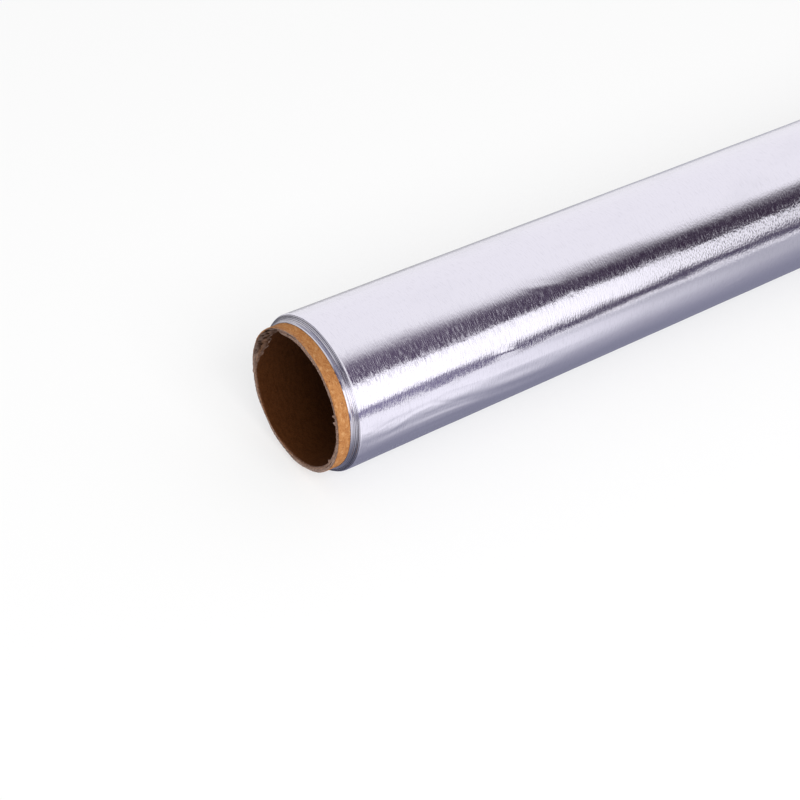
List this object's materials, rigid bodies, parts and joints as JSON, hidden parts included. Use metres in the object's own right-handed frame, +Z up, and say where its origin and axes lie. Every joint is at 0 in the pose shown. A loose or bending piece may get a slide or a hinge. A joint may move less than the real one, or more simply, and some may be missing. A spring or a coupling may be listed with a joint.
{
  "type": "aluminium foil roll",
  "caption": "Roll of bright household aluminium foil wound on an open paperboard core, with stepped turn edges at its ends, lying on a small flat.",
  "frame": {"origin": "middle of the small flat that the roll lies on, halfway along the core", "axes": "+X along the core, from the end the picture shows to the far end; +Z up; the foil's free edge is at the back, +Y"},
  "size_m": [0.306, 0.038, 0.0379],
  "materials": {
    "core_paperboard": "raw kraft paperboard, rough at the cut ends",
    "foil": "bright rolled foil with fine lines around the roll"
  },
  "bodies": {
    "root": {"core_tube": "core_paperboard", "foil_winding": "foil"}
  },
  "joints": []
}
